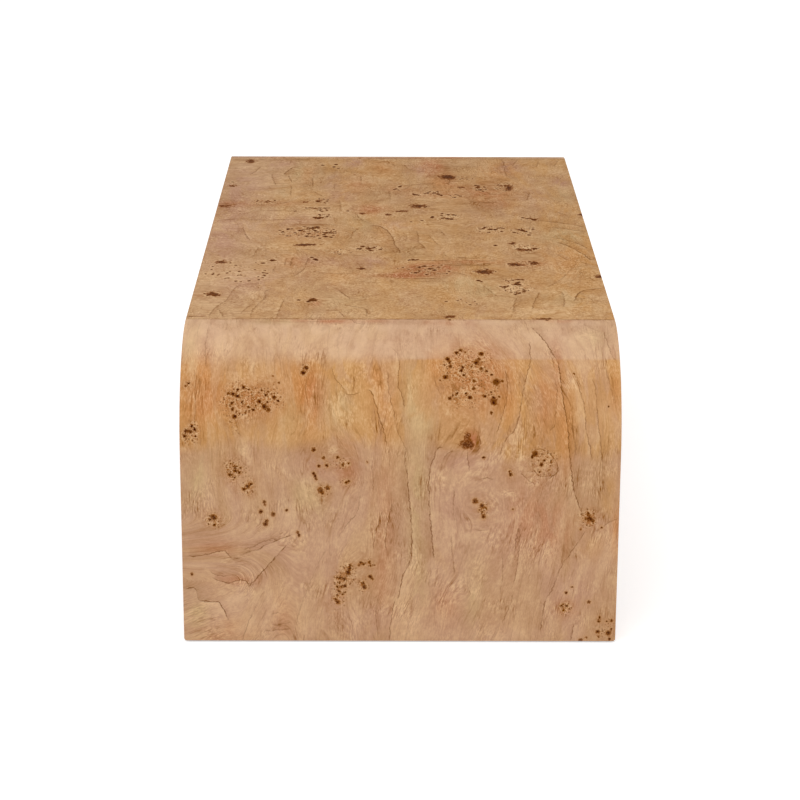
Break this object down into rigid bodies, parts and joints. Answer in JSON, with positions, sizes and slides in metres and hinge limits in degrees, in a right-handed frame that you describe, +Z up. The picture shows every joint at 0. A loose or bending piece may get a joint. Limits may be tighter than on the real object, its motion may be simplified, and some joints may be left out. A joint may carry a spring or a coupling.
{
  "type": "waterfall coffee table",
  "caption": "Low waterfall table: a flat burl-veneered top panel runs over rounded shoulders into full-width end panels that stand on recessed screw feet.",
  "frame": {"origin": "on the floor under the middle of the table, level with the underside of the feet", "axes": "+Z up, +Y along the table's length, +X across its width; the front end panel faces -Y"},
  "size_m": [0.61, 1.372, 0.432],
  "materials": {
    "burl_veneer": "satin lacquer over poplar burl",
    "burl_edge": "satin lacquer over poplar burl edge strip",
    "sealed_edge": "dark sealed wood strip",
    "fibreboard_skin": "plain medium-density fibreboard",
    "bent_plywood": "raw bending plywood",
    "birch_plywood": "raw birch plywood",
    "frame_timber": "planed poplar",
    "zinc_steel": "bright zinc plate",
    "foot_nylon": "moulded nylon"
  },
  "bodies": {
    "table": {"back_base_band": "sealed_edge", "back_face_veneer": "burl_veneer", "back_foot_rail": "frame_timber", "back_head_rail": "frame_timber", "back_inner_formers": "birch_plywood", "back_inner_skin": "bent_plywood", "back_inside_veneer": "burl_veneer", "back_joint_bolts": "zinc_steel", "back_joint_nuts": "zinc_steel", "back_joint_washers": "zinc_steel", "back_left_edge_veneer": "burl_edge", "back_leg_stiles": "frame_timber", "back_leveller_inserts": "zinc_steel", "back_outer_skin": "bent_plywood", "back_right_edge_veneer": "burl_edge", "back_seam_tongue": "birch_plywood", "back_side_formers": "birch_plywood", "front_base_band": "sealed_edge", "front_face_veneer": "burl_veneer", "front_foot_rail": "frame_timber", "front_head_rail": "frame_timber", "front_inner_formers": "birch_plywood", "front_inner_skin": "bent_plywood", "front_inside_veneer": "burl_veneer", "front_joint_bolts": "zinc_steel", "front_joint_nuts": "zinc_steel", "front_joint_washers": "zinc_steel", "front_left_edge_veneer": "burl_edge", "front_leg_stiles": "frame_timber", "front_leveller_inserts": "zinc_steel", "front_outer_skin": "bent_plywood", "front_right_edge_veneer": "burl_edge", "front_seam_tongue": "birch_plywood", "front_side_formers": "birch_plywood", "top_back_rail": "frame_timber", "top_cross_ribs": "birch_plywood", "top_face_veneer": "burl_veneer", "top_front_rail": "frame_timber", "top_left_edge_veneer": "burl_edge", "top_left_rail": "frame_timber", "top_lower_skin": "fibreboard_skin", "top_right_edge_veneer": "burl_edge", "top_right_rail": "frame_timber", "top_spine": "frame_timber", "top_under_veneer": "burl_veneer", "top_upper_skin": "fibreboard_skin"},
    "front_left_pad": {"front_left_leveller_pad": "foot_nylon"},
    "front_left_stem": {"front_left_leveller_stem": "zinc_steel"},
    "front_right_pad": {"front_right_leveller_pad": "foot_nylon"},
    "front_right_stem": {"front_right_leveller_stem": "zinc_steel"},
    "back_left_pad": {"back_left_leveller_pad": "foot_nylon"},
    "back_left_stem": {"back_left_leveller_stem": "zinc_steel"},
    "back_right_pad": {"back_right_leveller_pad": "foot_nylon"},
    "back_right_stem": {"back_right_leveller_stem": "zinc_steel"}
  },
  "joints": [
    {"name": "front_left_leveller_travel", "type": "slide", "parent": "table", "child": "front_left_pad", "axis": [0, 0, -1], "range_m": [0, 0.015]},
    {"name": "front_left_leveller_turn", "type": "hinge", "parent": "front_left_pad", "child": "front_left_stem", "pos_m": [-0.243, -0.6595, 0.0055], "axis": [0, 0, -1], "range_deg": [0, 4320]},
    {"name": "front_right_leveller_travel", "type": "slide", "parent": "table", "child": "front_right_pad", "axis": [0, 0, -1], "range_m": [0, 0.015]},
    {"name": "front_right_leveller_turn", "type": "hinge", "parent": "front_right_pad", "child": "front_right_stem", "pos_m": [0.243, -0.6595, 0.0055], "axis": [0, 0, -1], "range_deg": [0, 4320]},
    {"name": "back_left_leveller_travel", "type": "slide", "parent": "table", "child": "back_left_pad", "axis": [0, 0, -1], "range_m": [0, 0.015]},
    {"name": "back_left_leveller_turn", "type": "hinge", "parent": "back_left_pad", "child": "back_left_stem", "pos_m": [-0.243, 0.6595, 0.0055], "axis": [0, 0, -1], "range_deg": [0, 4320]},
    {"name": "back_right_leveller_travel", "type": "slide", "parent": "table", "child": "back_right_pad", "axis": [0, 0, -1], "range_m": [0, 0.015]},
    {"name": "back_right_leveller_turn", "type": "hinge", "parent": "back_right_pad", "child": "back_right_stem", "pos_m": [0.243, 0.6595, 0.0055], "axis": [0, 0, -1], "range_deg": [0, 4320]}
  ],
  "couplings": [
    {"joint": "front_left_leveller_turn", "follows": "front_left_leveller_travel", "rad_per_m": 5026.5},
    {"joint": "front_right_leveller_turn", "follows": "front_right_leveller_travel", "rad_per_m": 5026.5},
    {"joint": "back_left_leveller_turn", "follows": "back_left_leveller_travel", "rad_per_m": 5026.5},
    {"joint": "back_right_leveller_turn", "follows": "back_right_leveller_travel", "rad_per_m": 5026.5}
  ]
}
